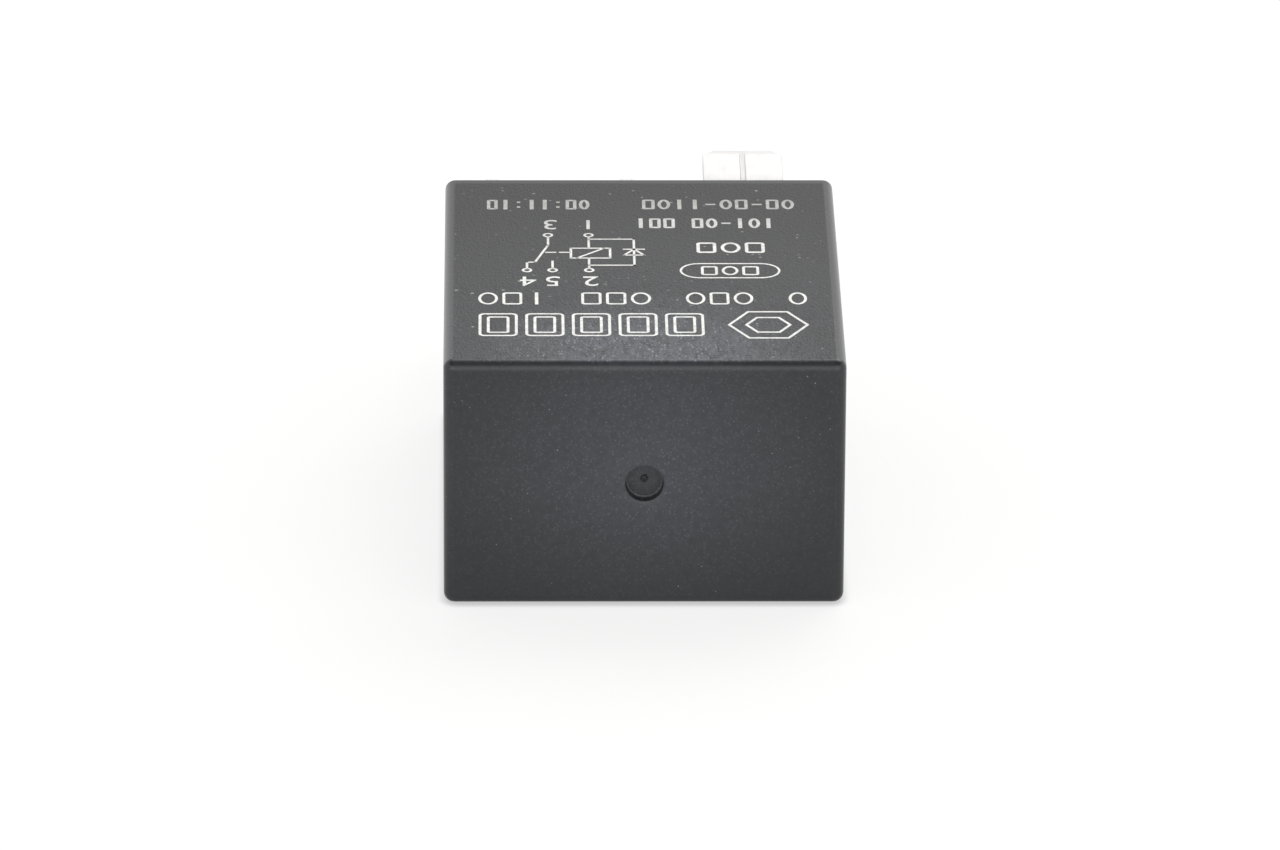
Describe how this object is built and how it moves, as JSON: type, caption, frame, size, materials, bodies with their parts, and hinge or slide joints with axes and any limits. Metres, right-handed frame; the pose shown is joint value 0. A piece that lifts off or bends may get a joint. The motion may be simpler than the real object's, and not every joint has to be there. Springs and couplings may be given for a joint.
{
  "type": "automotive relay",
  "caption": "Plug-in micro changeover relay: black moulded cap over a coil, yoke, hinged armature and contacts, with flat blades standing out of its base.",
  "frame": {"origin": "centre of the cover's flat back face, on which the relay lies", "axes": "+X across the case, -Y out of the closed end, +Y out of the base along the blades, +Z out of the label face"},
  "size_m": [0.023, 0.0405, 0.0152],
  "materials": {
    "case_plastic": "fine eroded matt black with pale laser marks",
    "base_plastic": "smooth matt black",
    "tinned_blade": "matt tin plate",
    "bobbin_plastic": "natural nylon",
    "enamelled_wire": "copper wire with clear enamel",
    "plated_iron": "zinc-plated soft iron",
    "spring_bronze": "rolled bronze strip",
    "contact_silver": "satin silver alloy",
    "diode_plastic": "moulded black"
  },
  "bodies": {
    "root": {"cover": "case_plastic", "base": "base_plastic", "terminal_1": "tinned_blade", "terminal_2": "tinned_blade", "terminal_3": "tinned_blade", "terminal_4": "tinned_blade", "terminal_5": "tinned_blade", "bobbin": "bobbin_plastic", "coil_winding": "enamelled_wire", "coil_lead_1": "enamelled_wire", "coil_lead_2": "enamelled_wire", "core": "plated_iron", "yoke": "plated_iron", "nc_contact": "contact_silver", "no_contact": "contact_silver", "diode_body": "diode_plastic", "diode_lead_1": "tinned_blade", "diode_lead_2": "tinned_blade"},
    "armature": {"armature": "plated_iron", "contact_spring": "spring_bronze", "moving_contact": "contact_silver"}
  },
  "joints": [
    {"name": "armature_pivot", "type": "hinge", "parent": "root", "child": "armature", "pos_m": [0.0099, -0.00792, 0.00758], "axis": [0, 0, -1], "range_deg": [0, 2.59], "stiffness_Nm_per_rad": 0.02, "springref_deg": -5.73, "deforming": ["contact_spring"]}
  ]
}
